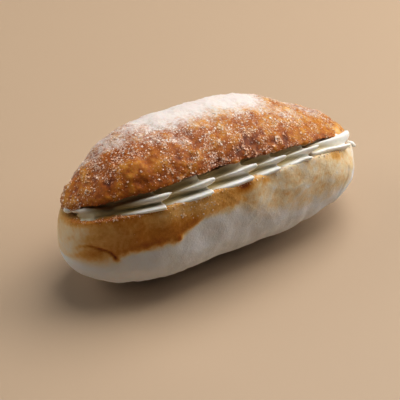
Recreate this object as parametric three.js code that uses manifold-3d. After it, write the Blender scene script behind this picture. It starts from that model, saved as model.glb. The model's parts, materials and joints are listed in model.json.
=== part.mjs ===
// A soft oblong butter bun: a domed loaf with a sugared crust, slit along its front shoulder
// and filled with butter cream piped in overlapping shells.
// Millimetres, +Z up. X runs along the bun, -Y is the front where the slit opens, Z = 0 is the table.
import * as THREE from 'three';
import { mergeVertices } from 'three/addons/utils/BufferGeometryUtils.js';
import { MeshSurfaceSampler } from 'three/addons/math/MeshSurfaceSampler.js';
import Module from 'manifold-3d';

// The loaf: overall size, the height of its widest line, and how blunt each end is in plan and profile.
const loaf = {
  length: 150,
  width: 67.4,
  height: 66.6,
  waistHeight: 24.2,
  flattened: 1.2,
  planBluntness: { left: 2.8, right: 4.4 },
  profileBluntness: { left: 3.3, right: 1.9 },
  crownSquareness: 2.6,
  undersideSquareness: 2.0,
  widthTaper: 0.06,
  crownTaper: -0.13,
  stepsAround: 52,
  stepsAlong: 48,
};

// Hollows (negative) and swells (positive) of the proved dough.
// Angles are in degrees, from the back over the top to the front.
const dents = [
  { name: 'left back shoulder', x: -60, angle: 47, reachX: 12, reachAngle: 38, rise: -2.1 },
  { name: 'right back shoulder', x: 53, angle: 60, reachX: 12, reachAngle: 40, rise: -3.0 },
  { name: 'right nose', x: 67, angle: 100, reachX: 9, reachAngle: 45, rise: 3.4 },
  { name: 'front belly', x: -12, angle: 218, reachX: 22, reachAngle: 40, rise: -2.0 },
];
const crustRipple = { height: 0.22, wavesAlong: 0.37, wavesAround: 5, slant: 0.06 };

// The slit: a knife cut that falls towards the back, held open by the cream.
// Its mid surface is arched along X, and its gap narrows to the hinge at the back.
const slit = {
  heightAtCentre: 44,
  fallToRight: 6.45,
  archAtEnds: 7,
  fallToBack: 0.3,
  mouthGap: 8.6,
  mouthGapLossToRight: 1.1,
  mouthGapLossAtEnds: 4,
  hingeGap: 2,
  mouthY: -27,
  hingeY: 18,
  stepsAlong: 30,
  stepsDeep: 4,
};

// Butter cream: a layer that fills the slit, and ridged shells piped along its mouth from right to left.
const cream = {
  clearance: 0.3,
  layerSetback: 5,
  ridges: 9,
  stepsPerRidge: 4,
  ridgeDepth: 0.45,
  ridgeRoundness: 1.4,
  ridgeTilt: 15,
  headRadius: 8.9,
  tailBluntness: 0.15,
  tailRounding: 0.17,
  squash: 0.8,
  pathInset: 6.6,
  pathDrop: 1.7,
  upperLag: 5,
  lowerLag: 2,
  grooveLag: 1.6,
  stepLength: 3.6,
};
const shells = [
  { tail: -68, head: -37, tailRadius: 5.4 },
  { tail: -43, head: -16, tailRadius: 3.4 },
  { tail: -22, head: 5, tailRadius: 3.4 },
  { tail: -1, head: 20.5, tailRadius: 3.4 },
  { tail: 14.5, head: 39, tailRadius: 3.4 },
  { tail: 33, head: 68, tailRadius: 3.6 },
];
const dollop = { x: -70, radius: 6.5, squash: 0.7, outset: 1 };
const peak = { x: 67, radius: 2.2, length: 8, lean: 0.6, outset: 4 };

// Sugar crystals on the crown: the largest ones, fused to the crust.
const sugar = {
  count: 96,
  size: 1.2,
  sizeSpread: 0.3,
  proportions: [1, 0.85, 0.75],
  sunkShare: 0.3,
  lowestHeight: 34,
  lipDistance: 3,
  seed: 7,
};

const crustColour = 0xc0803f;
const creamColour = 0xefe8d2;

const wasm = await Module();
wasm.setup();

const toRadians = THREE.MathUtils.degToRad;
const lerp = THREE.MathUtils.lerp;

// A closed solid from a three.js geometry, with its shared corners merged.
function solidOf(geometry) {
  const bare = geometry.clone();
  bare.deleteAttribute('normal');
  bare.deleteAttribute('uv');
  const merged = mergeVertices(bare);
  return new wasm.Manifold(new wasm.Mesh({
    numProp: 3,
    vertProperties: merged.attributes.position.array,
    triVerts: merged.index.array,
  }));
}

// The outer skin of a solid: pockets closed inside it are filled, and crumbs that touch nothing are dropped.
function outerSkin(solid) {
  return solid.decompose().reduce((largest, piece) => (piece.volume() > largest.volume() ? piece : largest));
}

function geometryOf(solid) {
  const mesh = solid.getMesh();
  const geometry = new THREE.BufferGeometry();
  geometry.setAttribute('position', new THREE.BufferAttribute(mesh.vertProperties, 3));
  geometry.setIndex(new THREE.BufferAttribute(mesh.triVerts, 1));
  geometry.computeVertexNormals();
  return geometry;
}

// Moves every corner of a geometry to where place(corner) says.
function reshape(geometry, place) {
  const position = geometry.attributes.position;
  const corner = new THREE.Vector3();
  for (let i = 0; i < position.count; i += 1) {
    const moved = place(corner.fromBufferAttribute(position, i));
    position.setXYZ(i, moved.x, moved.y, moved.z);
  }
  return geometry;
}

// How much of its full section the loaf keeps at s, which is -1 at the left end and 1 at the right end.
function endRound(s, bluntness) {
  const power = s < 0 ? bluntness.left : bluntness.right;
  return Math.sqrt(Math.max(0, 1 - Math.abs(s) ** power));
}

// The share by which dents and ripples push the crust out at one place.
function swell(x, angle) {
  let rise = crustRipple.height * Math.sin(crustRipple.wavesAlong * x + Math.cos(2 * angle))
    * Math.sin(crustRipple.wavesAround * angle + crustRipple.slant * x);
  for (const dent of dents) {
    const turn = angle - toRadians(dent.angle);
    const aside = Math.atan2(Math.sin(turn), Math.cos(turn)) / toRadians(dent.reachAngle);
    rise += dent.rise * Math.exp(-(((x - dent.x) / dent.reachX) ** 2) - aside ** 2);
  }
  return 1 + rise / (loaf.height / 2);
}

// A point on the crust, or "grow" millimetres outside it.
function crustPoint(s, angle, grow = 0) {
  const x = s * (loaf.length / 2 + grow);
  const across = Math.cos(angle);
  const up = Math.sin(angle);
  const squareness = up >= 0 ? loaf.crownSquareness : loaf.undersideSquareness;
  const roundness = (Math.abs(across) ** squareness + Math.abs(up) ** squareness) ** (-1 / squareness);
  const reach = roundness * swell(x, angle);
  const halfWidth = loaf.width / 2 * endRound(s, loaf.planBluntness) * (1 + loaf.widthTaper * s) + grow;
  const profile = endRound(s, loaf.profileBluntness);
  const crown = (loaf.height - loaf.waistHeight) * profile * (1 + loaf.crownTaper * s) + grow;
  const underside = loaf.waistHeight * profile + grow;
  const z = loaf.waistHeight + (up >= 0 ? crown : underside) * up * reach - loaf.flattened;
  return new THREE.Vector3(x, halfWidth * across * reach, Math.max(0, z));
}

function loafGeometry(grow) {
  const ball = new THREE.SphereGeometry(1, loaf.stepsAround, loaf.stepsAlong).rotateZ(-Math.PI / 2);
  return reshape(ball, (p) => crustPoint(p.x, Math.atan2(p.z, p.y), grow));
}

function slitHeight(x, y) {
  const s = x / (loaf.length / 2);
  return slit.heightAtCentre - slit.fallToRight * s - slit.archAtEnds * s * s - slit.fallToBack * y;
}

function slitGap(x, y) {
  const s = x / (loaf.length / 2);
  const mouth = slit.mouthGap - slit.mouthGapLossToRight * s - slit.mouthGapLossAtEnds * s * s;
  return lerp(slit.hingeGap, mouth, (slit.hingeY - y) / (slit.hingeY - slit.mouthY));
}

// The wedge of space that the knife and the cream open, "tight" millimetres inside its walls.
function slitGeometry(tight) {
  const block = new THREE.BoxGeometry(2, 1, 2, slit.stepsAlong, slit.stepsDeep, 1);
  return reshape(block, (p) => {
    const x = p.x * (loaf.length / 2 + 5);
    const y = lerp(-loaf.width, slit.hingeY - tight, p.y + 0.5);
    return new THREE.Vector3(x, y, slitHeight(x, y) + p.z * (slitGap(x, y) / 2 - tight));
  });
}

// The angle round the loaf where the slit's mid surface meets the front crust at x, found by halving.
function mouthAngle(x) {
  let high = Math.PI / 2;
  let low = Math.PI;
  for (let i = 0; i < 30; i += 1) {
    const middle = (high + low) / 2;
    const point = crustPoint(x / (loaf.length / 2), middle);
    if (point.z > slitHeight(x, point.y)) high = middle;
    else low = middle;
  }
  return (high + low) / 2;
}

function mouthPoint(x, turn = 0) {
  return crustPoint(x / (loaf.length / 2), mouthAngle(x) + turn);
}

// The piping path's own axes at x: along the mouth, up the crust across it, and straight out of the crust.
function pathFrame(x) {
  const along = mouthPoint(x + 0.5).sub(mouthPoint(x - 0.5)).normalize();
  const acrossMouth = mouthPoint(x, -0.1).sub(mouthPoint(x, 0.1));
  const out = along.clone().cross(acrossMouth).normalize();
  const up = out.clone().cross(along);
  const centre = mouthPoint(x).addScaledVector(out, -cream.pathInset).addScaledVector(up, -cream.pathDrop);
  return { along, out, up, centre };
}

// One piped shell: a squashed star section that swells from a rounded tail on the left to a flared head on the
// right. At the head the front ridge leads, and the ridges above and below it end further back.
function shellGeometry(shell) {
  const stepsLong = Math.round((shell.head - shell.tail) / cream.stepLength);
  const rope = new THREE.CylinderGeometry(1, 1, 1, cream.ridges * cream.stepsPerRidge, stepsLong);
  return reshape(rope, (p) => {
    const share = p.y + 0.5;
    const turn = Math.atan2(-p.x, p.z);
    const groove = ((1 - Math.cos(turn * cream.ridges)) / 2) ** cream.ridgeRoundness;
    const rounding = Math.sqrt(Math.min(1, share / cream.tailRounding + cream.tailBluntness));
    const fullness = lerp(shell.tailRadius, cream.headRadius, share) * rounding;
    const radius = Math.hypot(p.x, p.z) * fullness * (1 - cream.ridgeDepth * groove);
    const sideLag = Math.min(1, Math.abs(turn) * cream.ridges / (2 * Math.PI));
    const lag = share * (sideLag * (turn > 0 ? cream.upperLag : cream.lowerLag) + groove * cream.grooveLag);
    const x = lerp(shell.tail, shell.head, share);
    const squash = cream.squash * (slitGap(x, slit.mouthY) / slit.mouthGap + 1) / 2;
    const lean = turn + toRadians(cream.ridgeTilt);
    const { along, out, up, centre } = pathFrame(x);
    return centre.addScaledVector(along, -lag)
      .addScaledVector(out, radius * Math.cos(lean))
      .addScaledVector(up, radius * squash * Math.sin(lean));
  });
}

// The blob where the piping starts.
function dollopGeometry() {
  const { out, centre } = pathFrame(dollop.x);
  const seat = centre.addScaledVector(out, dollop.outset);
  const ball = new THREE.SphereGeometry(dollop.radius, 16, 10).scale(1, 1, dollop.squash);
  return ball.translate(seat.x, seat.y, seat.z);
}

// The little peak that the nozzle pulls off the last shell.
function peakGeometry() {
  const { along, out, up, centre } = pathFrame(peak.x);
  const tip = along.addScaledVector(out, peak.lean).addScaledVector(up, peak.lean).normalize();
  const tilt = new THREE.Quaternion().setFromUnitVectors(new THREE.Vector3(0, 1, 0), tip);
  const seat = centre.addScaledVector(out, peak.outset);
  const cone = new THREE.ConeGeometry(peak.radius, peak.length, 10).applyQuaternion(tilt);
  return cone.translate(seat.x, seat.y, seat.z);
}

// A small repeatable random draw from 0 to 1.
function seededDraw(seed) {
  let state = seed;
  return () => {
    state = (state * 16807) % 2147483647;
    return state / 2147483647;
  };
}

// Sugar crystals set on the crown of the loaf, away from the slit, as small tumbled boxes.
function sugarCrystals(crust) {
  const draw = seededDraw(sugar.seed);
  const sampler = new MeshSurfaceSampler(new THREE.Mesh(crust)).setRandomGenerator(draw).build();
  const crystals = [];
  const point = new THREE.Vector3();
  const normal = new THREE.Vector3();
  while (crystals.length < sugar.count) {
    sampler.sample(point, normal);
    const aboveSlit = point.z - slitHeight(point.x, point.y) - slitGap(point.x, point.y) / 2;
    if (point.z < sugar.lowestHeight || aboveSlit < sugar.lipDistance) continue;
    const size = sugar.size * (1 + sugar.sizeSpread * (2 * draw() - 1));
    const crystal = new THREE.BoxGeometry(...sugar.proportions.map((share) => share * size));
    crystal.rotateX(Math.PI * draw()).rotateY(Math.PI * draw()).rotateZ(Math.PI * draw());
    const seat = point.clone().addScaledVector(normal, size * (0.5 - sugar.sunkShare));
    crystals.push(solidOf(crystal.translate(seat.x, seat.y, seat.z)));
  }
  return crystals;
}

function buildBun() {
  const crust = loafGeometry(0);
  const slitLoaf = solidOf(crust).subtract(solidOf(slitGeometry(0)));
  return outerSkin(wasm.Manifold.union([slitLoaf, ...sugarCrystals(crust)]));
}

function buildCream() {
  const slitInside = solidOf(slitGeometry(cream.clearance));
  const layer = slitInside.intersect(solidOf(loafGeometry(-cream.layerSetback)));
  const piping = [...shells.map(shellGeometry), dollopGeometry()].map(solidOf);
  const piped = wasm.Manifold.union(piping).intersect(solidOf(slitGeometry(0)));
  const bread = solidOf(loafGeometry(cream.clearance)).subtract(slitInside);
  return outerSkin(wasm.Manifold.union([layer, piped, solidOf(peakGeometry())]).subtract(bread));
}

function part(name, solid, colour, roughness) {
  const material = new THREE.MeshStandardMaterial({ color: colour, roughness, metalness: 0 });
  const mesh = new THREE.Mesh(geometryOf(solid), material);
  mesh.name = name;
  return mesh;
}

const butterBun = new THREE.Group();
butterBun.add(part('bun', buildBun(), crustColour, 0.6));
butterBun.add(part('cream', buildCream(), creamColour, 0.45));

// The origin is the middle of the bun's footprint, on the table.
const box = new THREE.Box3().setFromObject(butterBun);
const middle = box.getCenter(new THREE.Vector3());
butterBun.position.set(-middle.x, -middle.y, -box.min.z);

export default butterBun;
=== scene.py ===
# Butter bun: sugared bread, slit along the front and filled with piped butter cream.
# Places on the bun are in millimetres until a mesh takes them. Materials and the studio are in metres.
# Angles on the loaf run from the back (0) over the top (90) to the front (180).
import json
import math

import bpy
import numpy as np
from mathutils import Euler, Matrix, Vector, noise

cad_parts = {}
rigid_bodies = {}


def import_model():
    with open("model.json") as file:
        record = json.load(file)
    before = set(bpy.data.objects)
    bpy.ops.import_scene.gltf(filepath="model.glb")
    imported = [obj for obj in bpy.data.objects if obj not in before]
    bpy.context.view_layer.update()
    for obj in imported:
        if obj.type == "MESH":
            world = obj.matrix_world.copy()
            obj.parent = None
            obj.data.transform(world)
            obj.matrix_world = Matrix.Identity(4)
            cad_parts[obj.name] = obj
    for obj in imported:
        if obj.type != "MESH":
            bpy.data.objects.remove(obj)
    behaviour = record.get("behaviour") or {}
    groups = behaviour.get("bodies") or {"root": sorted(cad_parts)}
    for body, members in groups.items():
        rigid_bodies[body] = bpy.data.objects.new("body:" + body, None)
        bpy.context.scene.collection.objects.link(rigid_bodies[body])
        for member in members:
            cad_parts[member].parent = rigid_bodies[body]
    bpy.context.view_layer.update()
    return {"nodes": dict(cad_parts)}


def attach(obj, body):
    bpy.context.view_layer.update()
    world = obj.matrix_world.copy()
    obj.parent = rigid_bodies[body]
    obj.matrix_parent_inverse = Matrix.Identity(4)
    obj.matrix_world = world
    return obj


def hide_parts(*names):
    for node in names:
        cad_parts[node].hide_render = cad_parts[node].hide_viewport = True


bpy.ops.object.select_all(action="SELECT")  # start-up objects
bpy.ops.object.delete()
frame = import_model()
mm = 0.001
print("frame loaded:", sorted(frame["nodes"]))


def pick(piece):
    bpy.ops.object.select_all(action="DESELECT")
    piece.select_set(True)
    bpy.context.view_layer.objects.active = piece


def named(name):
    piece = bpy.context.active_object
    piece.name = name
    piece.data.name = name
    return piece


def finishWith(piece, kind, **settings):  # adds a modifier and applies it
    pick(piece)
    bpy.ops.object.modifier_add(type=kind)
    modifier = piece.modifiers[-1]
    for key, value in settings.items():
        setattr(modifier, key, value)
    bpy.ops.object.modifier_apply(modifier=modifier.name)


def combine(piece, operation, other):
    finishWith(piece, "BOOLEAN", operation=operation, solver="MANIFOLD", object=other)


def evenOut(piece, voxel, smoothing):  # even faces, then a light smoothing
    finishWith(piece, "REMESH", mode="VOXEL", voxel_size=voxel * mm, adaptivity=0.0)
    finishWith(piece, "SMOOTH", factor=0.5, iterations=smoothing)


def joined(pieces, name):
    pick(pieces[0])
    for piece in pieces:
        piece.select_set(True)
    bpy.ops.object.join()
    return named(name)


def remove(piece):
    pick(piece)
    bpy.ops.object.delete()


def corners(piece):  # vertex places in mm
    flat = np.empty(len(piece.data.vertices) * 3)
    piece.data.vertices.foreach_get("co", flat)
    return flat.reshape(-1, 3) / mm


def moveCorners(piece, places):
    piece.data.vertices.foreach_set("co", (places * mm).ravel())
    piece.data.update()


def normalsOf(piece):
    flat = np.empty(len(piece.data.vertices) * 3)
    piece.data.vertex_normals.foreach_get("vector", flat)
    return flat.reshape(-1, 3)


def newBall(name, segments, rings):  # a sphere to shape, and its corners at radius 1
    bpy.ops.object.select_all(action="DESELECT")
    bpy.ops.mesh.primitive_uv_sphere_add(segments=segments, ring_count=rings, radius=1)
    piece = named(name)
    return piece, corners(piece) * mm


def paint(piece, name, values):
    layer = piece.data.attributes.new(name, "FLOAT", "POINT")
    layer.data.foreach_set("value", np.clip(values, 0, 1).astype(np.float32))


def smoothStep(low, high, value):
    share = np.clip((value - low) / (high - low), 0, 1)
    return share * share * (3 - 2 * share)


def lerp(a, b, share):
    return a + (b - a) * share


def bell(gap, width):
    return np.exp(-((gap / width) ** 2))


def unit(vectors):
    return vectors / np.linalg.norm(vectors, axis=-1, keepdims=True)


unevenness = {
    "seedStride": (7.31, 3.17, 5.53),  # shift of the noise from one seed to the next
    "fall": 1.0,
    "step": 2.0,
}


def roughness(places, size, octaves, seed):  # seeded noise from about -1 to 1
    offset = Vector([seed * stride for stride in unevenness["seedStride"]])
    scale = 1 / size
    fall, step = unevenness["fall"], unevenness["step"]
    return np.array([
        noise.fractal(Vector(place) * scale + offset, fall, step, octaves) for place in places
    ])


# The loaf is a long rounded body, with a left and a right value where its ends differ.
loaf = {
    "halfLength": 75.0,
    "width": 67.4,
    "height": 66.6,
    "waist": 24.2,
    "flattened": 1.2,
    "planBlunt": (2.8, 4.4),
    "profileBlunt": (3.3, 1.9),
    "crownSquare": 2.6,
    "baseSquare": 2.0,
    "widthTaper": 0.06,
    "crownTaper": -0.13,
    "dents": [  # x, angle, reach along, reach round, rise
        (-60, 47, 12, 38, -2.1),
        (53, 60, 12, 40, -3.0),
        (67, 100, 9, 45, 3.4),
        (-12, 218, 22, 40, -2.0),
    ],
    "ripple": (0.22, 0.37, 5, 0.06),  # height, waves along, waves round, slant
    "tipShare": 0.999,  # the share of the half length where places are still measured
    "segments": 220,
    "rings": 240,
}
slit = {
    "heights": [  # share of the half length, height of the mouth's middle
        (-1.0, 41.0), (-0.95, 42.2), (-0.87, 44.0), (-0.72, 44.9), (-0.5, 45.1), (-0.2, 44.9),
        (0.0, 44.0), (0.15, 43.1), (0.3, 42.0), (0.45, 40.4), (0.6, 38.3), (0.8, 34.0), (1.0, 29.8),
    ],
    "gaps": [  # share of the half length, opening of the mouth
        (-1.0, 6.4), (-0.85, 7.2), (-0.65, 8.2), (-0.4, 8.9), (0.0, 8.8), (0.15, 8.1),
        (0.3, 7.0), (0.45, 5.9), (0.8, 5.2), (1.0, 4.4),
    ],
    "fallBack": 0.3,
    "hingeGap": 2.0,
    "mouthY": -27.0,
    "hingeY": 18.0,
    "overrun": 5,  # past the loaf's ends
    "cuts": 59,
    "ragged": 0.45,
    "raggedNoise": (9.0, 3, 2.0),  # size, octaves, seed
    "lipsApart": 40,  # keeps the two lips' noise different
    "halvings": 30,
    "probe": (0.5, 0.1),  # steps along (mm) and round (radians) that give the mouth's directions
}


def endRound(s, blunt):
    power = np.where(s < 0, blunt[0], blunt[1])
    return np.sqrt(np.maximum(0, 1 - np.abs(s) ** power))


def swell(x, angle):
    height, along, around, slant = loaf["ripple"]
    rise = height * np.sin(along * x + np.cos(2 * angle)) * np.sin(around * angle + slant * x)
    for dentX, dentAngle, reachX, reachAngle, dentRise in loaf["dents"]:
        turn = angle - math.radians(dentAngle)
        aside = np.arctan2(np.sin(turn), np.cos(turn)) / math.radians(reachAngle)
        rise = rise + dentRise * np.exp(-(((x - dentX) / reachX) ** 2) - aside**2)
    return 1 + rise / (loaf["height"] / 2)


def section(s):  # half width, crown and underside heights at s
    profile = endRound(s, loaf["profileBlunt"])
    half = loaf["width"] / 2 * endRound(s, loaf["planBlunt"]) * (1 + loaf["widthTaper"] * s)
    crown = (loaf["height"] - loaf["waist"]) * profile * (1 + loaf["crownTaper"] * s)
    return half, crown, loaf["waist"] * profile


def reachAt(x, angle):
    across = np.abs(np.cos(angle))
    up = np.sin(angle)
    square = np.where(up >= 0, loaf["crownSquare"], loaf["baseSquare"])
    return (across**square + np.abs(up) ** square) ** (-1 / square) * swell(x, angle)


def crustPoint(s, angle, grow=0.0):
    s = np.asarray(s, dtype=float)
    angle = np.asarray(angle, dtype=float)
    x = s * (loaf["halfLength"] + grow)
    half, crown, under = section(s)
    reach = reachAt(x, angle)
    up = np.sin(angle)
    tall = np.where(up >= 0, crown + grow, under + grow)
    z = loaf["waist"] + tall * up * reach - loaf["flattened"]
    return np.stack([x, (half + grow) * np.cos(angle) * reach, np.maximum(0, z)], axis=-1)


def placeOnLoaf(places):  # angle in degrees, and depth under the crust
    s = np.clip(places[:, 0] / loaf["halfLength"], -loaf["tipShare"], loaf["tipShare"])
    half, crown, under = section(s)
    rise = places[:, 2] + loaf["flattened"] - loaf["waist"]
    across = places[:, 1] / half
    up = rise / np.where(rise >= 0, crown, under)
    angle = np.arctan2(up, across)
    share = np.hypot(across, up) / reachAt(places[:, 0], angle)
    depth = (1 - share) * np.hypot(places[:, 1], rise)
    return (np.degrees(angle) + 90) % 360 - 90, depth


def slitHeight(x, y):
    middle = np.interp(x / loaf["halfLength"], *np.transpose(slit["heights"]))
    return middle - slit["fallBack"] * y


def slitGap(x, y):
    mouth = np.interp(x / loaf["halfLength"], *np.transpose(slit["gaps"]))
    share = (slit["hingeY"] - y) / (slit["hingeY"] - slit["mouthY"])
    return lerp(slit["hingeGap"], mouth, share)


def mouthAngle(x):  # where the slit's middle meets the front crust, found by halving
    high = np.full(np.shape(x), math.pi / 2)
    low = np.full(np.shape(x), math.pi)
    for _ in range(slit["halvings"]):
        middle = (high + low) / 2
        point = crustPoint(x / loaf["halfLength"], middle)
        above = point[..., 2] > slitHeight(x, point[..., 1])
        high = np.where(above, middle, high)
        low = np.where(above, low, middle)
    return (high + low) / 2


def mouthPoint(x, turn=0.0):
    x = np.asarray(x, dtype=float)
    return crustPoint(x / loaf["halfLength"], mouthAngle(x) + turn)


def mouthFrame(x):  # along the mouth, out of the crust, up the crust
    x = np.asarray(x, dtype=float)
    step, turn = slit["probe"]
    along = unit(mouthPoint(x + step) - mouthPoint(x - step))
    out = unit(np.cross(along, mouthPoint(x, -turn) - mouthPoint(x, turn)))
    return along, out, np.cross(out, along)


def onCrust(spots, steps=8):  # a line through (x, angle) spots on the crust
    spots = np.array(spots, dtype=float)
    share = np.linspace(0, len(spots) - 1, (len(spots) - 1) * steps + 1)
    x = np.interp(share, range(len(spots)), spots[:, 0])
    angle = np.interp(share, range(len(spots)), spots[:, 1])
    return crustPoint(x / loaf["halfLength"], np.radians(angle))


def distanceTo(places, line):
    best = np.full(len(places), np.inf)
    for a, b in zip(line[:-1], line[1:]):
        span = b - a
        share = np.clip(((places - a) @ span) / (span @ span), 0, 1)
        best = np.minimum(best, np.linalg.norm(places - a - share[:, None] * span, axis=1))
    return best


def loafBody(name, grow=0.0, coarse=1):
    piece, ball = newBall(name, loaf["segments"] // coarse, loaf["rings"] // coarse)
    around = np.arctan2(ball[:, 1], ball[:, 0])
    moveCorners(piece, crustPoint(np.clip(ball[:, 2], -1, 1), around, grow))
    return piece


def slitWedge(name, tight=0.0, ragged=0.0):
    bpy.ops.object.select_all(action="DESELECT")
    bpy.ops.mesh.primitive_cube_add(size=2)
    piece = named(name)
    bpy.ops.object.mode_set(mode="EDIT")
    bpy.ops.mesh.select_all(action="SELECT")
    bpy.ops.mesh.subdivide(number_cuts=slit["cuts"])
    bpy.ops.object.mode_set(mode="OBJECT")
    block = corners(piece) * mm
    x = block[:, 0] * (loaf["halfLength"] + slit["overrun"])
    y = lerp(-loaf["width"], slit["hingeY"] - tight, block[:, 1] / 2 + 0.5)
    z = slitHeight(x, y) + block[:, 2] * (slitGap(x, y) / 2 - tight)
    if ragged:
        lips = np.stack([x, y, slit["lipsApart"] * np.sign(block[:, 2])], axis=1)
        z += ragged * roughness(lips, *slit["raggedNoise"])
    moveCorners(piece, np.stack([x, y, z], axis=1))
    return piece


# Bread: the loaf with the slit cut out, then the crust's relief.
bread = {
    "reach": (74.95, 33.9),  # furthest x and y
    "voxel": 0.77,
    "smoothing": 4,
    "crumbDepth": (1.6, 3.4),  # where the crust turns to crumb
    "lidEdge": (1.0, 9.0),  # half width of the step from base to lid, at the slit and at the back
    "lidBack": (12, 26),  # y where the slit ends
    "lidFrom": (-25, 15),  # angles at the back where the lid begins
    "noise": {  # size, octaves, seed
        "broad": (22.0, 3, 1.0),
        "lump": (7.5, 3, 16.0),
        "wrinkle": (3.8, 4, 2.0),
        "grain": (1.5, 2, 3.0),
        "skin": (9.0, 3, 4.0),
        "pucker": (2.6, 3, 15.0),
        "fuzz": (7.0, 4, 5.0),
        "fineFuzz": (1.6, 3, 6.0),
        "marbling": (3.6, 4, 9.0),
        "honey": (8.0, 3, 14.0),
        "freckle": (2.8, 3, 17.0),
        "clump": (4.2, 3, 8.0),
        "drift": (11.0, 3, 12.0),
    },
    "heights": {
        "broad": 0.85,
        "lump": 0.55,
        "wrinkle": 0.36,
        "grain": 0.20,
        "skin": 0.24,
        "pucker": 0.07,
        "pleat": 0.40,
        "crumb": 0.25,
        "vein": 0.14,
        "blister": 0.8,
        "lidTip": 1.5,
    },
    "calmed": (0.6, 1.3),  # relief lost under the thick sugar, and how full its middle is
    "calmSpot": (-2, 66, 40, 30),  # x, angle, reach along, reach round
    "pleatNoise": (5.5, 2, 18.0),
    "pleatStretch": (1.0, 0.3, 0.3),
    "pleatFrom": (168, 205),
    "foldLine": [
        (-74.2, 143), (-73.9, 149), (-71.8, 150.5), (-69, 154.5), (-66.3, 160), (-63.1, 165.5),
        (-61.4, 171),
    ],
    "foldEnd": [(-61.4, 171), (-60.9, 172)],
    "foldDepth": 0.38,
    "foldWidth": 0.6,
    "foldBulge": (0.18, 6.0, 1.2),  # height, reach, gap that it leaves beside the fold
    "foldBelow": (-1, 3),
    "foldFront": 120,
    "noseCrease": [(56.5, 160), (54.7, 170), (52.0, 178), (49.3, 187)],
    "creaseRidge": (0.20, 1.4, 1.2),  # height, distance, width
    "creaseGroove": (0.22, 0.9),
    "veins": [
        [(-12, 148), (-10.6, 150.5), (-4, 158), (0.8, 165), (8, 171), (14.1, 176)],
        [(8, 150), (14, 157), (22, 160), (30, 158)],
        [(20, 170), (27, 163), (36, 161)],
        [(-2, 172), (4, 167), (10, 160), (12, 152)],
    ],
    "veinWidth": 0.9,
    "blisters": [(-36.5, 165.5), (-65.9, 58)],
    "blisterLength": 0.5,
    "blisterWidth": 1.3,
    "calmEnds": (0.9, 66, 74.5),  # relief lost at the ends, x from and to
    "lidTipSpot": (-69.5, 66, 6.5, 40),
}


def spot(row):  # x, angle, reach along, reach round: 1 there on the crust, fading to 0
    centreX, centreAngle, reachX, reachAngle = row
    return np.exp(-(((x - centreX) / reachX) ** 2) - ((angle - centreAngle) / reachAngle) ** 2)


def spotSum(table):  # rows of a level and a spot
    return sum(level * spot(row) for level, *row in table)


def edgeAngle(x, edge):
    table = np.array(edge, dtype=float)
    return np.interp(x, table[:, 0], table[:, 1])


bun = loafBody("bun_bread")
knife = slitWedge("knife", ragged=slit["ragged"])
combine(bun, "DIFFERENCE", knife)
remove(knife)
evenOut(bun, bread["voxel"], bread["smoothing"])
places = corners(bun)
normals = normalsOf(bun)
x, y = places[:, 0], places[:, 1]
angle, depth = placeOnLoaf(places)
crumb = smoothStep(*bread["crumbDepth"], depth)
aboveSlit = places[:, 2] - slitHeight(x, y)
softEdge = lerp(*bread["lidEdge"], smoothStep(*bread["lidBack"], y) * (1 - crumb))
crown = smoothStep(-softEdge, softEdge, aboveSlit) * smoothStep(*bread["lidFrom"], angle)
print("bread cut and remeshed:", len(places), "corners")

rough = {name: roughness(places, *values) for name, values in bread["noise"].items()}
high = bread["heights"]
calmLoss, calmFill = bread["calmed"]
calm = 1 - calmLoss * np.minimum(1, calmFill * spot(bread["calmSpot"]))
rise = high["broad"] * rough["broad"]
rise += crown * calm * (high["lump"] * rough["lump"] + high["wrinkle"] * rough["wrinkle"])
rise += crown * high["grain"] * rough["grain"]
rise += (1 - crown) * (high["skin"] * rough["skin"] + high["pucker"] * rough["pucker"])

# fold at the left end, with the dough bulging below it
foldGap = distanceTo(places, onCrust(bread["foldLine"]))
foldAngle = edgeAngle(x, bread["foldLine"])
below = smoothStep(*bread["foldBelow"], angle - foldAngle) * (angle > bread["foldFront"])
bulge, bulgeReach, bulgeGap = bread["foldBulge"]
rise -= bread["foldDepth"] * bell(foldGap, bread["foldWidth"])
rise += bulge * below * bell(foldGap, bulgeReach) * (1 - bell(foldGap, bulgeGap))

# crease at the right end, veins, blisters and the pleats low on the base
ridge, ridgeAway, ridgeWidth = bread["creaseRidge"]
groove, grooveWidth = bread["creaseGroove"]
creaseGap = distanceTo(places, onCrust(bread["noseCrease"]))
rise += ridge * bell(creaseGap - ridgeAway, ridgeWidth) - groove * bell(creaseGap, grooveWidth)
veinGap = np.min([distanceTo(places, onCrust(vein)) for vein in bread["veins"]], axis=0)
rise += high["vein"] * bell(veinGap, bread["veinWidth"])
blisterLines = [[(a, b), (a + bread["blisterLength"], b)] for a, b in bread["blisters"]]
blisterGap = np.min([distanceTo(places, onCrust(line, 1)) for line in blisterLines], axis=0)
rise += high["blister"] * bell(blisterGap, bread["blisterWidth"])
pleatNoise = roughness(places * np.array(bread["pleatStretch"]), *bread["pleatNoise"])
rise += high["pleat"] * pleatNoise * smoothStep(*bread["pleatFrom"], angle) * (1 - crown)
endLoss, endFrom, endTo = bread["calmEnds"]
rise *= 1 - endLoss * smoothStep(endFrom, endTo, np.abs(x))
rise += high["lidTip"] * crown * spot(bread["lidTipSpot"])

lift = rise * (1 - crumb) + crumb * high["crumb"] * rough["grain"]
raised = places + normals * lift[:, None]
raised[:, 2] = np.maximum(raised[:, 2], 0)  # nothing below the table
for axis, reach in enumerate(bread["reach"]):
    raised[:, axis] = np.clip(raised[:, axis], -reach, reach)
moveCorners(bun, raised)
print("crust relief raised")

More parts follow.
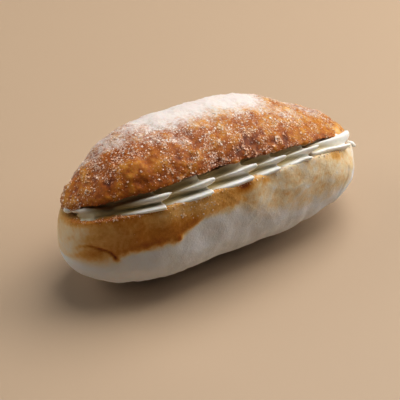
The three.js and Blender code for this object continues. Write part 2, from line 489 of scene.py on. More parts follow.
# Baking: levels from 0, pale dough, to 1, dark brown. The base has a golden band over a pale belly. The
# levels also carry painted shade in the relief's hollows and along the fold's crease.
baking = {
    "rightward": (-26, 6),  # x where the base turns from golden to marbled
    "goldEdge": [  # x, angle where the band ends
        (-75, 158), (-71, 161), (-66, 165), (-61.5, 170), (-56, 168.5), (-52, 167.5), (-44, 168),
        (-36.5, 167), (-31, 162.5), (-24, 158.5), (-7, 160), (10, 170), (25, 176), (45, 178),
        (60, 175), (75, 158),
    ],
    "goldWander": (1.0, 3.6, 0.6),  # of that edge: left, right, fine
    "goldWidth": (3.4, 9.0),  # half width of that edge, left and right
    "backEdge": (-12, 8, 9),  # where the band ends at the back: angle, wander, half width
    "tips": [  # gold that stays at the left and right tip, x from, x to, wander
        (0.46, -76.5, -66.0, 1.6),
        (0.55, 74, 56, 2),
    ],
    "pale": (0.035, 0.03),  # level of the belly, and its mottling
    "band": (0.60, 0.262),  # level of the band, left and right
    "bandFuzz": (0.05, 0.05),  # broad, fine
    "bandLeftLoss": (0.17, -46, -70),  # level, x from, x to
    "bandRim": (0.04, 3, 2.5),  # level, angle above the band's edge, width
    "bandSpots": [  # level, x, angle, reach along, reach round
        (-0.19, -38, 149.5, 14, 5.5),
        (-0.15, -23, 153, 7, 6),
        (-0.06, -68, 134, 6, 8),
    ],
    "marbling": 0.07,
    "foldLevel": (0.03, 0.49),
    "foldSpot": (-68, 163.5, 8.5, 13),
    "vein": (0.05, 0.6),  # level, width
    # darker spots just below the lower lip, under the cream's shelves: level, x, angle, reach along,
    # reach round
    "darkUnderShelves": [
        (0.42, -2.7, 147.5, 3.6, 3.4),
        (0.16, 7, 147, 5, 4),
        (0.2, 51, 145, 4, 5),
    ],
    "lid": 0.70,
    "lidSlopes": [(0.01, 0, -45), (-0.05, 5, 50)],  # level, x from, x to
    "lidSpots": [
        (0.10, -46, 94, 8, 10),
        (0.16, 6, 126, 6, 8),
        (0.20, 60, 82, 15, 22),
        (-0.10, 61, 122, 11, 12),
        (-0.10, -68, 70, 9, 40),
    ],
    "lidTop": (0.14, (122, 92), (-25, 5)),  # level lost, angles and x from and to
    "honey": (0.10, 0.11, (-30, 30)),  # left, right, x from and to
    "freckle": 0.10,
    "paintedHollowShade": (0.12, 0.08),  # painted shade: darker in the wrinkles and between the lumps, where the relief is low
    "foldCreaseShade": (0.26, 0.6, (-74, -68)),  # painted shade along the fold's crease: level, width, x from and to
    "blister": (0.25, 0.9),
    "foldEnd": (0.35, 1.2),
    "lip": (0.14, 1.6),
    "lipBack": (8, -8),  # y from and to
    "lipLeft": [(-30, -60), (-56, -66)],  # x from and to, twice as dark at the tip
}

fuzz, fineFuzz = rough["fuzz"], rough["fineFuzz"]
rightward = smoothStep(*baking["rightward"], x)
wanderLeft, wanderRight, wanderFine = baking["goldWander"]
goldLine = edgeAngle(x, baking["goldEdge"])
goldLine += lerp(wanderLeft, wanderRight, rightward) * fuzz + wanderFine * fineFuzz
goldWidth = lerp(*baking["goldWidth"], rightward)
backAngle, backWander, backWidth = baking["backEdge"]
backLine = backAngle + backWander * fuzz
gold = 1 - smoothStep(goldLine - goldWidth, goldLine + goldWidth, angle)
gold *= smoothStep(backLine - backWidth, backLine + backWidth, angle)
for least, tipFrom, tipTo, wander in baking["tips"]:
    gold *= lerp(least, 1.0, smoothStep(tipFrom, tipTo, x + wander * fuzz))

leftLoss, lossFrom, lossTo = baking["bandLeftLoss"]
bandBroad, bandFine = baking["bandFuzz"]
rimLevel, rimAbove, rimWidth = baking["bandRim"]
band = lerp(*baking["band"], rightward) - leftLoss * smoothStep(lossFrom, lossTo, x)
band += bandBroad * fuzz + bandFine * fineFuzz + baking["marbling"] * rightward * rough["marbling"]
band += rimLevel * (1 - rightward) * bell(angle - goldLine + rimAbove, rimWidth)
band += spotSum(baking["bandSpots"])
paleLevel, paleMottling = baking["pale"]
foldLeast, foldMore = baking["foldLevel"]
veinLoss, veinWidth = baking["vein"]
lower = lerp(paleLevel + paleMottling * rough["pucker"], band, gold)
lower = np.maximum(lower, foldLeast + foldMore * spot(baking["foldSpot"]))
lower -= veinLoss * bell(veinGap, veinWidth) * gold * rightward
lower += spotSum(baking["darkUnderShelves"])

topLoss, topAngles, topAlong = baking["lidTop"]
honeyLeft, honeyRight, honeyTurn = baking["honey"]
inWrinkles, betweenLumps = baking["paintedHollowShade"]
lid = baking["lid"] + sum(level * smoothStep(a, b, x) for level, a, b in baking["lidSlopes"])
lid += spotSum(baking["lidSpots"])
lid -= topLoss * smoothStep(*topAngles, angle) * smoothStep(*topAlong, x)
lid += lerp(honeyLeft, honeyRight, smoothStep(*honeyTurn, x)) * rough["honey"]
lid += baking["freckle"] * rough["freckle"]
# painted shade in the relief's hollows, lighter on its tops
lid -= inWrinkles * rough["wrinkle"] + betweenLumps * rough["lump"]

foldCreaseShade, foldDarkWidth, foldDarkAlong = baking["foldCreaseShade"]
blisterDark, blisterDarkWidth = baking["blister"]
foldEndDark, foldEndWidth = baking["foldEnd"]
lipDark, lipWidth = baking["lip"]
toast = lerp(lower, lid, crown)
# painted shade along the fold's crease
toast += foldCreaseShade * bell(foldGap, foldDarkWidth) * smoothStep(*foldDarkAlong, x)
toast += blisterDark * bell(blisterGap, blisterDarkWidth)
toast += foldEndDark * bell(distanceTo(places, onCrust(bread["foldEnd"], 1)), foldEndWidth)
lipGap = np.abs(np.abs(aboveSlit) - slitGap(x, y) / 2)
lipToast = lipDark * bell(lipGap, lipWidth) * (1 - crown) * smoothStep(*baking["lipBack"], y)
toast += lipToast * sum(smoothStep(a, b, x) for a, b in baking["lipLeft"])

# Frosting: a thick white patch on top, a thinner halo in front of it, and drifts on the rest of the lid.
frosting = {
    "clump": (0.9, 0.4),  # own noise, broad fuzz
    "clumpSpread": (-0.25, 0.55),
    "edge": [  # x, angle of the patch's front edge
        (-60, 42), (-48.4, 64), (-32.3, 83.5), (-15.2, 92), (2, 90), (13.3, 95), (23.2, 96),
        (33, 90), (38, 70),
    ],
    "edgeWander": 5,
    "edgeWidth": 20,
    "edgeFleck": 5,
    "back": (8, 66, 12, 8),  # from, to, wander, fleck
    "left": (-55, -19, 6, 0),
    "right": (54, 22, 7, 4),
    "driftSpread": (-0.15, 0.7),
    "haloFront": (4, 36),  # angles past the patch's edge
    "haloBack": (20, 50),
    "haloEnds": [(-72, -56), (56, 36)],
    "halo": (0.24, 0.28, 0.15),  # level, more in drifts, more at the left
    "haloLeft": (-5, -40),
    "drift": 0.25,
    "driftFront": (130, 100),
    "spots": [  # level, x, angle, reach along, reach round, fleck
        (0.55, 50, 62, 17, 16, 0.5),
        (0.46, 57, 84, 17, 22, 0.6),
        (0.40, 36, 100, 15, 14, 0.6),
    ],
    "gritBack": (2, 25),
    "bareLip": (0.88, (104, 118), (-25, -42)),  # grit lost, angles and x from and to
    "gritLeast": 0.3,
}


def flecked(row, along):  # a fade with an uneven edge
    fadeFrom, fadeTo, wander, fleck = row
    return smoothStep(fadeFrom, fadeTo, along + wander * fuzz + fleck * fineFuzz)


ownClump, fuzzClump = frosting["clump"]
clump = smoothStep(*frosting["clumpSpread"], ownClump * rough["clump"] + fuzzClump * fuzz)
sugarLine = edgeAngle(x, frosting["edge"]) + frosting["edgeWander"] * fuzz
edgeWidth = frosting["edgeWidth"]
fleckedAngle = angle + frosting["edgeFleck"] * fineFuzz
dust = 1 - smoothStep(sugarLine - edgeWidth, sugarLine + edgeWidth, fleckedAngle)
dust *= flecked(frosting["back"], angle)
dust *= flecked(frosting["left"], x) * flecked(frosting["right"], x)
drift = smoothStep(*frosting["driftSpread"], rough["drift"]) * crown
haloNear, haloFar = frosting["haloFront"]
haloLeftEnd, haloRightEnd = frosting["haloEnds"]
haloLevel, haloDrift, haloLeft = frosting["halo"]
halo = 1 - smoothStep(sugarLine + haloNear, sugarLine + haloFar, angle)
halo = halo * smoothStep(*frosting["haloBack"], angle) * crown
halo *= smoothStep(*haloLeftEnd, x) * smoothStep(*haloRightEnd, x)
haloLevel = haloLevel + haloDrift * drift + haloLeft * smoothStep(*frosting["haloLeft"], x)
dust = np.maximum(dust, halo * haloLevel)
dust = np.maximum(dust, frosting["drift"] * drift * smoothStep(*frosting["driftFront"], angle))
for level, *row, fleck in frosting["spots"]:
    dust = np.maximum(dust, level * spot(row) * (1 + fleck * fineFuzz))
gritLoss, lipAngles, lipAlong = frosting["bareLip"]
bareLip = smoothStep(*lipAngles, angle) * smoothStep(*lipAlong, x)
grit = crown * (1 - crumb) * smoothStep(*frosting["gritBack"], angle) * (1 - gritLoss * bareLip)
paint(bun, "toast", toast)
paint(bun, "dust", dust)
paint(bun, "grit", grit * lerp(frosting["gritLeast"], 1.0, clump))
paint(bun, "crumb", crumb)
print("crust painted")


def newMaterial(name):
    material = bpy.data.materials.new(name)
    material.use_nodes = True
    return material, material.node_tree, material.node_tree.nodes["Principled BSDF"]


def feed(tree, node, inputs):  # links sockets and sets plain values
    for key, value in inputs.items():
        if isinstance(value, bpy.types.NodeSocket):
            tree.links.new(value, node.inputs[key])
        else:
            node.inputs[key].default_value = value


def addNode(tree, kind, inputs=None, **settings):
    node = tree.nodes.new(kind)
    for key, value in settings.items():
        setattr(node, key, value)
    feed(tree, node, inputs or {})
    return node


def attribute(tree, name):
    return addNode(tree, "ShaderNodeAttribute", attribute_name=name).outputs["Fac"]


def grains(tree, coords, scale, detail, rough):
    inputs = {"Vector": coords, "Scale": scale, "Detail": detail, "Roughness": rough}
    return addNode(tree, "ShaderNodeTexNoise", inputs).outputs["Fac"]


def reckon(tree, operation, *values, clamp=False):
    inputs = dict(enumerate(values))
    return addNode(tree, "ShaderNodeMath", inputs, operation=operation, use_clamp=clamp).outputs[0]


def spread(tree, value, low, high, newLow=0.0, newHigh=1.0):
    inputs = {"Value": value, "From Min": low, "From Max": high, "To Min": newLow, "To Max": newHigh}
    node = addNode(tree, "ShaderNodeMapRange", inputs, interpolation_type="SMOOTHSTEP")
    return node.outputs["Result"]


def mixColours(tree, share, a, b):
    return addNode(tree, "ShaderNodeMix", {0: share, 6: a, 7: b}, data_type="RGBA").outputs[2]


def ramp(tree, value, stops):
    node = addNode(tree, "ShaderNodeValToRGB", {"Fac": value})
    colours = node.color_ramp.elements
    while len(colours) < len(stops):
        colours.new(1.0)
    for element, (place, colour) in zip(colours, stops):
        element.position = place
        element.color = (*colour, 1)
    return node.outputs["Color"]


crustLook = {
    "bake": [
        # the palest dough is cool white: the flour's own colour, with a painted bluish tint of the cool
        # light in the shade
        (0.00, (0.80, 0.84, 0.89)),
        (0.12, (0.82, 0.79, 0.75)),
        (0.26, (0.84, 0.68, 0.45)),
        (0.40, (0.76, 0.44, 0.14)),
        (0.56, (0.57, 0.235, 0.028)),
        (0.70, (0.42, 0.125, 0.014)),
        (0.84, (0.25, 0.062, 0.012)),
        (0.97, (0.11, 0.026, 0.010)),
    ],
    "mottle": (90, 4, 0.55),  # noise scale, detail, roughness
    "flecks": (520, 3, 0.65),
    "frost": (800, 4, 0.7),
    "sprinkle": (700, 2, 0.6),
    "bump": (1100, 3, 0.6),
    "noiseMiddle": 0.5,
    "mottleShare": 0.5,
    "fleckShare": 0.8,
    "change": (0.55, 0.05),  # how far the level varies, by its own height and at the least
    "frostChange": 1.1,
    "frostSpread": (0.10, 0.92),
    "frostMost": 0.97,
    "sugarWhite": (0.82, 0.75, 0.71, 1),
    "sprinkleSpread": (0.54, 0.68),
    "sprinkleMost": 0.30,
    "sprinkleColour": (0.78, 0.52, 0.36, 1),
    # crumb colour darker than fresh crumb: partly its own colour, partly painted shade deep inside the
    # slit
    "crumb": (0.44, 0.23, 0.06, 1),
    "sheen": (0.2, 0.6, 0.78, 0.50),  # level from and to, roughness from and to
    "frostBump": 0.4,
    "bumpStrength": 0.5,
    "bumpDistance": 0.0004,
    "specular": 0.22,
    "softness": 0.10,
    "softScale": 0.002,
}

crust, tree, shader = newMaterial("sugared_crust")
coords = addNode(tree, "ShaderNodeTexCoord").outputs["Object"]
toastIn = attribute(tree, "toast")
middle = crustLook["noiseMiddle"]
mottle = reckon(tree, "SUBTRACT", grains(tree, coords, *crustLook["mottle"]), middle)
flecks = reckon(tree, "SUBTRACT", grains(tree, coords, *crustLook["flecks"]), middle)
change = reckon(
    tree, "ADD",
    reckon(tree, "MULTIPLY", mottle, crustLook["mottleShare"]),
    reckon(tree, "MULTIPLY", flecks, crustLook["fleckShare"]),
)
strength = reckon(tree, "MULTIPLY_ADD", toastIn, *crustLook["change"])
level = reckon(tree, "ADD", toastIn, reckon(tree, "MULTIPLY", change, strength), clamp=True)
baked = ramp(tree, level, crustLook["bake"])
frostNoise = reckon(tree, "SUBTRACT", grains(tree, coords, *crustLook["frost"]), middle)
frostNoise = reckon(tree, "MULTIPLY", frostNoise, crustLook["frostChange"])
frostLevel = reckon(tree, "ADD", attribute(tree, "dust"), frostNoise)
frostShare = spread(tree, frostLevel, *crustLook["frostSpread"])
frostShare = reckon(tree, "MULTIPLY", frostShare, crustLook["frostMost"])
frosted = mixColours(tree, frostShare, baked, crustLook["sugarWhite"])
sprinkle = spread(tree, grains(tree, coords, *crustLook["sprinkle"]), *crustLook["sprinkleSpread"])
sprinkle = reckon(tree, "MULTIPLY", sprinkle, attribute(tree, "grit"))
sprinkle = reckon(tree, "MULTIPLY", sprinkle, crustLook["sprinkleMost"])
frosted = mixColours(tree, sprinkle, frosted, crustLook["sprinkleColour"])
bumpHeight = reckon(
    tree, "ADD",
    grains(tree, coords, *crustLook["bump"]),
    reckon(tree, "MULTIPLY", frostShare, crustLook["frostBump"]),
)
bump = addNode(tree, "ShaderNodeBump", {
    "Strength": crustLook["bumpStrength"],
    "Distance": crustLook["bumpDistance"],
    "Height": bumpHeight,
})
feed(tree, shader, {
    # the crumb colour carries painted shade inside the slit
    "Base Color": mixColours(tree, attribute(tree, "crumb"), frosted, crustLook["crumb"]),
    "Roughness": spread(tree, toastIn, *crustLook["sheen"]),
    "Specular IOR Level": crustLook["specular"],
    "Normal": bump.outputs["Normal"],
    "Subsurface Weight": crustLook["softness"],
    "Subsurface Scale": crustLook["softScale"],
})
bun.data.materials.clear()
bun.data.materials.append(crust)
pick(bun)
bpy.ops.object.shade_smooth()
print("crust material made")

# Sugar: crystals are uneven blocks, dusting is finer flakes.
sugar = {
    "seed": 11,
    "sizes": (0.38, 0.32),  # crystals, dusting
    "sizeSpread": (0.45, 0.25),  # crystals, dusting
    "sizeLimits": (0.45, 2.2),  # smallest and largest, as shares of the size
    "flakeSides": 4,
    "flakeRadius": 0.7,
    "flakeHeight": 0.9,
    "proportions": (0.7, 1.15),
    "sunk": 0.38,
    "flatness": (0.55, 0.34),  # crystals, dusting
    "tilt": (0.24, 0.10),  # crystals, dusting
    "bedding": 0.7,
    "jitter": 0.14,
    "whiteSpread": 0.65,
    "whitePower": 3,
    "white": (0.12, 1.15),  # at the least, more by the frosting
    "crystalShares": (0.10, 0.90),  # everywhere, in clumps
    "crystalDensity": 2.9,  # grains per square millimetre where they are thickest
    "crystalRight": (0.7, 50, 66),  # share lost, x from and to
    "crystalFrost": (0.4, 0.85),  # frosting that hides them
    "dustDensity": (5.0, 1.5, 2.0),  # by the frosting, its power, in clumps
    "dustFrost": (0.9, 0.5, 0.85),  # share lost, frosting from and to
    "lipDensity": (1.4, 2.6),  # crystals, dusting
    "lipWidth": 1.1,
    "lipLeft": (-73, -64),
    "lipAngles": (90, 180),
    "fallenSpot": (-26, 151, 8, 4.5),
    "strayDensity": 0.003,
    "strayAngles": (120, 200),
    "syrup": [
        (0.10, (0.86, 0.80, 0.72)),
        (0.45, (0.84, 0.52, 0.20)),
        (0.80, (0.68, 0.28, 0.10)),
    ],
    "grainWhite": (0.92, 0.84, 0.78, 1),
    "roughness": 0.22,
    "refraction": 1.5,
}


def scatter(name, density, draw, whiteness, fine):
    mesh = bun.data
    mesh.calc_loop_triangles()
    triangles = np.empty(len(mesh.loop_triangles) * 3, dtype=np.int32)
    mesh.loop_triangles.foreach_get("vertices", triangles)
    triangles = triangles.reshape(-1, 3)
    seat3 = corners(bun)[triangles]
    normal3 = normalsOf(bun)[triangles]
    spans = np.cross(seat3[:, 1] - seat3[:, 0], seat3[:, 2] - seat3[:, 0])
    area = np.linalg.norm(spans, axis=1) / 2
    expected = area * density[triangles].mean(axis=1)
    count = int(expected.sum())
    chosen = np.searchsorted(np.cumsum(expected), draw.random(count) * expected.sum())
    chosen = np.minimum(chosen, len(triangles) - 1)
    a, b = draw.random(count), draw.random(count)
    flip = a + b > 1
    a, b = np.where(flip, 1 - a, a), np.where(flip, 1 - b, b)
    weights = np.stack([1 - a - b, a, b], axis=1)[:, :, None]
    seats = (seat3[chosen] * weights).sum(axis=1)
    outward = unit((normal3[chosen] * weights).sum(axis=1))
    size = sugar["sizes"][fine]
    smallest, largest = sugar["sizeLimits"]
    sizes = size * np.exp(sugar["sizeSpread"][fine] * draw.standard_normal(count))
    sizes = np.clip(sizes, size * smallest, size * largest)

    # one grain, to be copied
    bpy.ops.object.select_all(action="DESELECT")
    if fine:
        bpy.ops.mesh.primitive_cone_add(
            vertices=sugar["flakeSides"], radius1=sugar["flakeRadius"], radius2=0,
            depth=sugar["flakeHeight"],
        )
        bpy.ops.object.mode_set(mode="EDIT")
        bpy.ops.mesh.quads_convert_to_tris()
        bpy.ops.object.mode_set(mode="OBJECT")
    else:
        bpy.ops.mesh.primitive_cube_add(size=1)
    grain = named(name + "_one")
    grainCorners = corners(grain) * mm
    sides = np.array([list(face.vertices) for face in grain.data.polygons])
    remove(grain)

    # every copy has its own proportions, tilt and corners
    cornerCount = len(grainCorners)
    atSeat = triangles[chosen, 0]
    bedded = 1 - sugar["bedding"] * whiteness[atSeat]  # flatter where the sugar is thick
    flatness, tilt = sugar["flatness"][fine] * bedded, sugar["tilt"][fine] * bedded
    top = unit(outward + tilt[:, None] * draw.standard_normal((count, 3)))
    side = unit(np.cross(top, draw.standard_normal((count, 3))))
    axes = np.stack([side, np.cross(top, side), top], axis=2)
    shapes = grainCorners[None] * draw.uniform(*sugar["proportions"], (count, 1, 3))
    shapes[:, :, 2] *= flatness[:, None]
    shapes = shapes * (1 + sugar["jitter"] * draw.standard_normal((count, cornerCount, 3)))
    shapes = np.einsum("nij,nkj->nki", axes, shapes) * sizes[:, None, None]
    shapes += (seats + outward * (sizes * flatness * (0.5 - sugar["sunk"]))[:, None])[:, None]
    faces = np.arange(count)[:, None, None] * cornerCount + sides[None]
    grainMesh = bpy.data.meshes.new(name)
    grainMesh.from_pydata(
        (shapes.reshape(-1, 3) * mm).tolist(), [], faces.reshape(-1, sides.shape[1]).tolist()
    )
    piece = bpy.data.objects.new(name, grainMesh)
    bpy.context.collection.objects.link(piece)
    white = whiteness[atSeat] + sugar["whiteSpread"] * draw.random(count) ** sugar["whitePower"]
    paint(piece, "white", np.repeat(white, cornerCount))
    paint(piece, "toast", np.repeat(toast[atSeat], cornerCount))
    print(name, count, "grains")
    return piece


def between(limits):
    return (angle > limits[0]) * (angle < limits[1])


draw = np.random.default_rng(sugar["seed"])
everywhere, inClumps = sugar["crystalShares"]
rightLoss, rightFrom, rightTo = sugar["crystalRight"]
lipCrystals, lipDust = sugar["lipDensity"]
leastWhite, frostWhite = sugar["white"]
baseCrust = (1 - crown) * (1 - crumb)
lowerLip = baseCrust * bell(lipGap, sugar["lipWidth"]) * smoothStep(*sugar["lipLeft"], x)
crystalDensity = grit * (everywhere + inClumps * clump) * sugar["crystalDensity"]
rightThinning = 1 - rightLoss * smoothStep(rightFrom, rightTo, x)
crystalDensity *= rightThinning * (1 - smoothStep(*sugar["crystalFrost"], dust))
crystalDensity += lipCrystals * lowerLip * between(sugar["lipAngles"])
crystalDensity += spot(sugar["fallenSpot"]) * baseCrust
crystalDensity += sugar["strayDensity"] * baseCrust * between(sugar["strayAngles"])
whiteMap = np.clip(leastWhite + frostWhite * dust, 0, 1)
crystals = scatter("bun_sugar_crystals", crystalDensity, draw, whiteMap, False)

byFrost, frostPower, dustInClumps = sugar["dustDensity"]
dustLoss, dustFrom, dustTo = sugar["dustFrost"]
dustDensity = grit * (byFrost * dust**frostPower + dustInClumps * clump)
dustDensity *= 1 - dustLoss * smoothStep(dustFrom, dustTo, dust)
dustDensity += lipDust * lowerLip * between(sugar["lipAngles"])
dusting = scatter("bun_sugar_dusting", dustDensity, draw, whiteMap, True)

sugarLook, tree, shader = newMaterial("sugar_grains")
syrup = ramp(tree, attribute(tree, "toast"), sugar["syrup"])
feed(tree, shader, {
    "Base Color": mixColours(tree, attribute(tree, "white"), syrup, sugar["grainWhite"]),
    "Roughness": sugar["roughness"],
    "IOR": sugar["refraction"],
})
for piece in (crystals, dusting):
    piece.data.materials.append(sugarLook)
print("sugar material made")

# Butter cream: overlapping shells along the mouth, a few smears, and a layer inside the slit.
cream = {
    "segments": 144,
    "rings": 72,
    "capShare": 0.16,
    "section": [  # turn, out, up, lag behind the tip, 0 for the crest to 1 for the shelf and the panel
        (0, 1.0, 3.2, 0.9, 0.0),
        (14, 1.9, 2.6, 0.3, 0.0),
        (28, 2.0, 1.6, 0.0, 0.0),
        (44, 1.6, 0.4, 0.3, 0.0),
        (64, 0.8, -0.6, 1.2, 0.1),
        (84, -1.0, -1.5, 2.9, 0.4),
        (104, -2.9, -2.1, 4.4, 0.8),
        (120, -1.9, -2.5, 3.8, 1.0),
        (142, 0.5, -2.8, 2.5, 1.0),
        (160, 1.9, -3.7, 2.2, 1.0),
        (176, 1.0, -4.8, 2.6, 1.0),
        (205, -4.0, -5.5, 4.0, 1.0),
        (240, -9.0, -3.0, 5.0, 1.0),
        (280, -9.0, 3.0, 6.0, 1.0),
        (310, -1.2, 5.8, 6.8, 1.0),
        (320, -1.6, 4.5, 6.6, 1.0),
        (332, -2.5, 3.5, 6.2, 0.7),
        (343, -2.4, 2.8, 4.5, 0.3),
        (352, -0.7, 3.0, 2.2, 0.0),
    ],
    "sectionBlur": 4,
    "depth": 6.6,  # from the mouth to a shell's axis
    "gap": 8.8,  # mouth that the section is drawn for
    "tailShare": 0.3,
    "outGrowth": (1.0, 0.5, 1.1),  # crest, shelf, panel under the lid
    "panelTail": 0.6,
    "tailBluntness": 0.15,
    "tailRounding": 0.17,
    "tailEnd": 0.9999,
    "drop": 0.4,
    "hollow": 3.0,
    "hornTurn": (10, 16),  # middle and width of the drawn-out tip, degrees
    "hornFrom": (0.8, 0.6),  # shares along the shell and over its cap
    "voxel": 0.42,
    "smoothing": 4,
    # tail, head, sunk by, horn, flare, crest's level at the tail, its rise,
    # shelf's level at the tail, shelf's lag, lifts at the tail and the head
    "shells": [
        (-62, -37, 0.6, 1.8, 0.68, 0.80, 1.0, 0.80, 0.0, (0.0, 0.0)),
        (-43, -16, 0.2, 0.2, 0.68, 0.30, 1.6, 1.25, 0.0, (0.0, 0.0)),
        (-22, 5, 0.0, 0.3, 0.70, 0.28, 1.6, 1.25, 0.6, (0.0, 0.0)),
        (-1, 20.5, 0.0, 0.2, 0.66, 0.28, 1.6, 1.25, 2.2, (0.0, 0.0)),
        (14.5, 39, 0.0, 1.0, 0.70, 0.28, 1.6, 1.25, 3.6, (0.3, 0.3)),
        (33, 64, -0.6, 0.8, 1.35, 0.20, 1.6, 1.20, 4.4, (2.4, 1.2)),
    ],
    "smearMesh": (32, 48),  # segments, rings
    "smearRough": 0.35,
    "smearNoise": (2.4, 2),  # size, octaves
    "smearSeed": 20.0,
    # x, y, z and radius along each:
    # the left end's blob, under the lid, on the lower lip, deeper in, the right end's peak
    "smears": [
        [
            (-70.4, 4.2, 42.0, 0.8), (-70.2, 2.6, 43.0, 1.5),
            (-69.8, 1.0, 43.6, 1.2), (-69.2, -0.6, 44.2, 0.8),
        ],
        [
            (-69.4, -0.4, 43.4, 0.8), (-67.8, -3.2, 45.0, 1.4),
            (-65.2, -6.8, 46.4, 1.5), (-61.4, -10.6, 47.6, 1.2),
        ],
        [
            (-69.4, -4.5, 41.3, 0.9), (-67.5, -8.0, 42.4, 1.15),
            (-65.0, -11.1, 43.4, 1.2), (-61.0, -14.3, 44.4, 1.1),
        ],
        [
            (-68.0, -2.6, 42.4, 1.5), (-65.5, -6.4, 43.7, 2.3),
            (-62.0, -10.0, 44.9, 2.9), (-56.5, -13.0, 46.0, 3.4),
        ],
        [(66.4, -16.8, 34.6, 1.5), (68.6, -17.5, 33.6, 1.4), (70.6, -17.8, 32.0, 0.8)],
    ],
    "layerSetback": 4.2,
    "layerClearance": 0.3,
    "layerCoarse": 2,
    "paintedRecessShade": (0.0, 3.8),  # depth under the crust over which the cream darkens and yellows: painted shade in its recesses
    "outside": [(0.90, 0.88, 0.815, 1), (0.95, 0.94, 0.905, 1)],
    # painted shade: the colour of the cream deep in its flutes and of the layer inside the slit
    "inside": (0.50, 0.385, 0.17, 1),
    "streak": (160, 3, 0.55),  # noise scale, detail, roughness
    "streakSpread": (0.35, 0.7),
    "bump": (600, 2, 0.55),
    "bumpStrength": 0.15,
    "bumpDistance": 0.0003,
    "roughness": 0.42,
    "softness": 0.25,
    "softScale": 0.0015,
    "softColour": (1.0, 0.8, 0.45),
    "sharpFrom": 50,  # degrees
}


def pipedShell(name, tail, head, sunkBy, horn, flare, crestTail, rise, shelfTail, shelfLag, lifts):
    piece, ball = newBall(name, cream["segments"], cream["rings"])
    down = np.arccos(np.clip(ball[:, 2], -1, 1)) / math.pi  # 0 at the head, 1 at the tail
    turn = np.degrees(-np.arctan2(ball[:, 0], ball[:, 1]))  # 0 at the crest, more towards the shelf
    table = np.array(cream["section"], dtype=float)
    table = np.vstack([table, table[0] + (360, 0, 0, 0, 0)])
    spots = [(turn + step * cream["sectionBlur"]) % 360 for step in (-1, 0, 0, 1)]
    outward, upward, lag, shelf = (
        np.mean([np.interp(at, table[:, 0], column) for at in spots], axis=0) for column in table.T[1:]
    )
    capped = np.clip(down / cream["capShare"], 0, 1)
    share = np.clip((1 - down) / (1 - cream["capShare"]), 0, 1)
    pathX = lerp(tail, head, share)
    blunt = np.minimum(1, share / cream["tailRounding"] + cream["tailBluntness"])
    rounding = np.where(down > cream["tailEnd"], 0, np.sqrt(blunt) * capped)
    crestGrowth, shelfGrowth, panelGrowth = cream["outGrowth"]
    growth = lerp(crestGrowth, np.where(upward < 0, shelfGrowth, panelGrowth), shelf)
    outScale = lerp(cream["tailShare"], 1.0, share**growth) * rounding
    crestScale = lerp(crestTail, 1.0, share**rise) * flare
    sideScale = lerp(np.where(upward < 0, shelfTail, cream["panelTail"]), 1.0, share)
    upScale = lerp(crestScale, sideScale, shelf) * rounding
    upScale *= (slitGap(pathX, slit["mouthY"]) / cream["gap"] + 1) / 2
    outPlace = (outward + cream["depth"]) * outScale - cream["depth"] - sunkBy
    upPlace = (upward + cream["drop"]) * upScale - cream["drop"] + lerp(*lifts, share)
    lag = lag + shelfLag * shelf * (upward < 0)
    back = share**2 * lag * capped + (1 - capped) * cream["hollow"]
    hornMiddle, hornWidth = cream["hornTurn"]
    hornShare, hornCap = cream["hornFrom"]
    tip = bell((turn + 180) % 360 - (180 + hornMiddle), hornWidth)
    back -= horn * smoothStep(hornShare, 1.0, share) * tip * smoothStep(hornCap, 1.0, capped)
    along, out, up = mouthFrame(pathX)
    shaped = mouthPoint(pathX) - back[:, None] * along
    moveCorners(piece, shaped + outPlace[:, None] * out + upPlace[:, None] * up)
    return piece


def smear(name, path, seed):  # a soft streak of cream through (x, y, z, radius) spots
    piece, ball = newBall(name, *cream["smearMesh"])
    spots = np.array(path, dtype=float)
    steps = np.arange(len(spots))
    share = np.arccos(np.clip(ball[:, 2], -1, 1)) / math.pi * (len(spots) - 1)
    places = np.stack([np.interp(share, steps, column) for column in spots.T], axis=1)
    ends = unit(spots[-1, :3] - spots[0, :3])
    side = unit(np.cross(ends, (0.0, 0.0, 1.0)))
    offset = ball[:, :1] * side + ball[:, 1:2] * np.cross(side, ends) - ball[:, 2:] * ends
    uneven = 1 + cream["smearRough"] * roughness(places[:, :3] + offset, *cream["smearNoise"], seed)
    moveCorners(piece, places[:, :3] + offset * (places[:, 3] * uneven)[:, None])
    return piece


shellPieces = [pipedShell("shell", *values) for values in cream["shells"]]
smears = [smear("smear", path, cream["smearSeed"] + i) for i, path in enumerate(cream["smears"])]
piping = joined(shellPieces + smears, "butter_cream")
evenOut(piping, cream["voxel"], cream["smoothing"])
layer = slitWedge("layer", tight=cream["layerClearance"])
inside = loafBody("inside", grow=-cream["layerSetback"], coarse=cream["layerCoarse"])
combine(layer, "INTERSECT", inside)
remove(inside)
combine(piping, "UNION", layer)
remove(layer)
combine(piping, "DIFFERENCE", bun)
print("cream piped:", len(piping.data.vertices), "corners,", len(piping.data.polygons), "faces")

# painted shade: the cream darkens towards its recesses, by depth under the crust
paint(piping, "paintedRecessShade", smoothStep(*cream["paintedRecessShade"], placeOnLoaf(corners(piping))[1]))
creamLook, tree, shader = newMaterial("butter_cream")
coords = addNode(tree, "ShaderNodeTexCoord").outputs["Object"]
streak = spread(tree, grains(tree, coords, *cream["streak"]), *cream["streakSpread"])
creamColour = mixColours(tree, streak, *cream["outside"])
bump = addNode(tree, "ShaderNodeBump", {
    "Strength": cream["bumpStrength"],
    "Distance": cream["bumpDistance"],
    "Height": grains(tree, coords, *cream["bump"]),
})
feed(tree, shader, {
    "Base Color": mixColours(tree, attribute(tree, "paintedRecessShade"), creamColour, cream["inside"]),
    "Roughness": cream["roughness"],
    "Normal": bump.outputs["Normal"],
    "Subsurface Weight": cream["softness"],
    "Subsurface Scale": cream["softScale"],
    "Subsurface Radius": cream["softColour"],
})
piping.data.materials.clear()
piping.data.materials.append(creamLook)
pick(piping)
bpy.ops.object.shade_smooth_by_angle(angle=math.radians(cream["sharpFrom"]))
print("cream material made")

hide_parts("bun")
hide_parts("cream")
for piece, slotName in ((bun, "crust"), (crystals, "crust"), (dusting, "crust"), (piping, "cream")):
    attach(piece, "root")

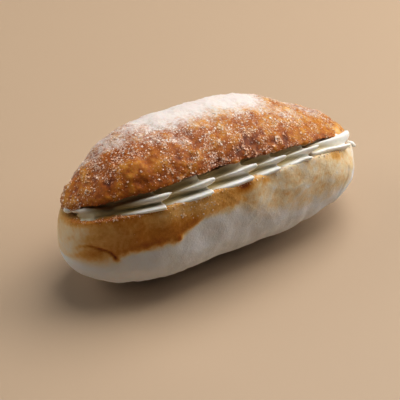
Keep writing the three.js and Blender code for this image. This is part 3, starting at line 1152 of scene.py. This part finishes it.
# Studio: a plain floor, three soft lights and the camera.
studio = {
    "floorSize": 6.0,
    "floorColour": (0.55, 0.41, 0.285, 1),
    "floorRoughness": 0.55,
    "lights": {  # place, size, power, colour
        "key": ((0.44, 0.10, 1.10), 0.9, 12.0, (1.0, 0.975, 0.94)),
        "side": ((1.0, -0.16, 0.58), 0.9, 9.5, (1.0, 0.99, 0.97)),
        "rim": ((-0.72, 0.68, 0.62), 0.9, 4.8, (1.0, 0.98, 0.95)),
    },
    "worldColour": (0.62, 0.85, 1.12, 1),
    "worldStrength": 0.05,
    "aim": (0.0, 0.0, 0.03),
    "eye": (-0.2213, -0.3191, 0.3121),
    "lens": 95.78,
    "sensor": 36.0,
    "turn": (-1.012, 0.495),  # tilt and pan from the aim, degrees
    "gamma": 0.85,
}


def lookAt(thing, place, target):
    thing.location = place
    thing.rotation_euler = (Vector(target) - Vector(place)).to_track_quat("-Z", "Y").to_euler()


bpy.ops.object.select_all(action="DESELECT")
bpy.ops.mesh.primitive_plane_add(size=studio["floorSize"])
floor = named("floor")
floorLook, tree, shader = newMaterial("plain_floor")
feed(tree, shader, {"Base Color": studio["floorColour"], "Roughness": studio["floorRoughness"]})
floor.data.materials.append(floorLook)

for name, (place, size, power, colour) in studio["lights"].items():
    lamp = bpy.data.lights.new(name, "AREA")
    lamp.size = size
    lamp.energy = power
    lamp.color = colour
    light = bpy.data.objects.new(name, lamp)
    bpy.context.collection.objects.link(light)
    lookAt(light, place, studio["aim"])

world = bpy.data.worlds.new("studio")
world.use_nodes = True
sky = world.node_tree.nodes["Background"]
sky.inputs["Color"].default_value = studio["worldColour"]
sky.inputs["Strength"].default_value = studio["worldStrength"]
bpy.context.scene.world = world

lensData = bpy.data.cameras.new("camera")
lensData.sensor_fit = "HORIZONTAL"
lensData.sensor_width = studio["sensor"]
lensData.lens = studio["lens"]
camera = bpy.data.objects.new("camera", lensData)
bpy.context.collection.objects.link(camera)
lookAt(camera, studio["eye"], studio["aim"])
tilt, pan = (math.radians(value) for value in studio["turn"])
aimed = camera.rotation_euler.to_matrix()
panned = aimed @ Euler((0, pan, 0)).to_matrix()
camera.rotation_euler = (panned @ Euler((tilt, 0, 0)).to_matrix()).to_euler()
bpy.context.scene.camera = camera
bpy.context.scene.view_settings.view_transform = "Standard"
bpy.context.scene.view_settings.gamma = studio["gamma"]
print("studio set")
